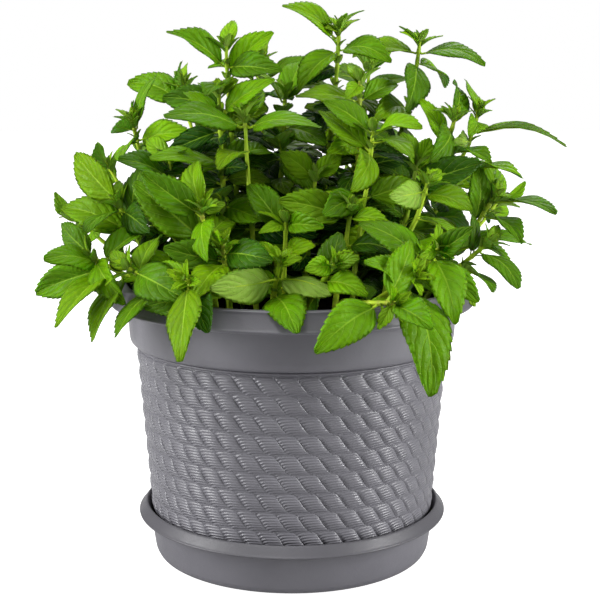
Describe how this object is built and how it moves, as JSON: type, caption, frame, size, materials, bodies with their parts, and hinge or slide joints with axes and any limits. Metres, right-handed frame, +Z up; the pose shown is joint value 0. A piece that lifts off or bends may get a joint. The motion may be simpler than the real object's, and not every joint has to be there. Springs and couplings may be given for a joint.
{
  "type": "potted mint plant",
  "caption": "Bushy mint plant in a round grey plastic planter with a twisted-rope relief, standing in its matching saucer, filled with dark soil.",
  "frame": {"origin": "middle of the saucer's flat underside, on the surface that the planter stands on", "axes": "+Z up along the pot's axis, -Y towards the side that the picture shows, +X to that side's right"},
  "size_m": [0.3609, 0.3483, 0.3863],
  "materials": {
    "planter_plastic": "satin moulded grey",
    "soil": "loose dark potting soil",
    "mint_leaf": "fresh green leaf, slightly glossy"
  },
  "bodies": {
    "root": {"saucer": "planter_plastic", "pot": "planter_plastic", "soil": "soil", "shoot_01": "mint_leaf", "shoot_02": "mint_leaf", "shoot_03": "mint_leaf", "shoot_04": "mint_leaf", "shoot_05": "mint_leaf", "shoot_06": "mint_leaf", "shoot_07": "mint_leaf", "shoot_08": "mint_leaf", "shoot_09": "mint_leaf", "shoot_10": "mint_leaf", "shoot_11": "mint_leaf", "shoot_12": "mint_leaf", "shoot_13": "mint_leaf", "shoot_14": "mint_leaf", "shoot_15": "mint_leaf", "shoot_16": "mint_leaf", "shoot_17": "mint_leaf", "shoot_18": "mint_leaf", "shoot_19": "mint_leaf", "shoot_20": "mint_leaf", "shoot_21": "mint_leaf", "shoot_22": "mint_leaf", "shoot_23": "mint_leaf", "shoot_24": "mint_leaf", "shoot_25": "mint_leaf", "shoot_26": "mint_leaf", "shoot_27": "mint_leaf", "shoot_28": "mint_leaf", "shoot_29": "mint_leaf", "shoot_30": "mint_leaf", "shoot_31": "mint_leaf", "shoot_32": "mint_leaf", "shoot_33": "mint_leaf", "shoot_34": "mint_leaf", "shoot_35": "mint_leaf", "shoot_36": "mint_leaf", "shoot_37": "mint_leaf", "shoot_38": "mint_leaf", "shoot_39": "mint_leaf", "shoot_40": "mint_leaf", "shoot_41": "mint_leaf", "shoot_42": "mint_leaf", "shoot_43": "mint_leaf"}
  },
  "joints": []
}
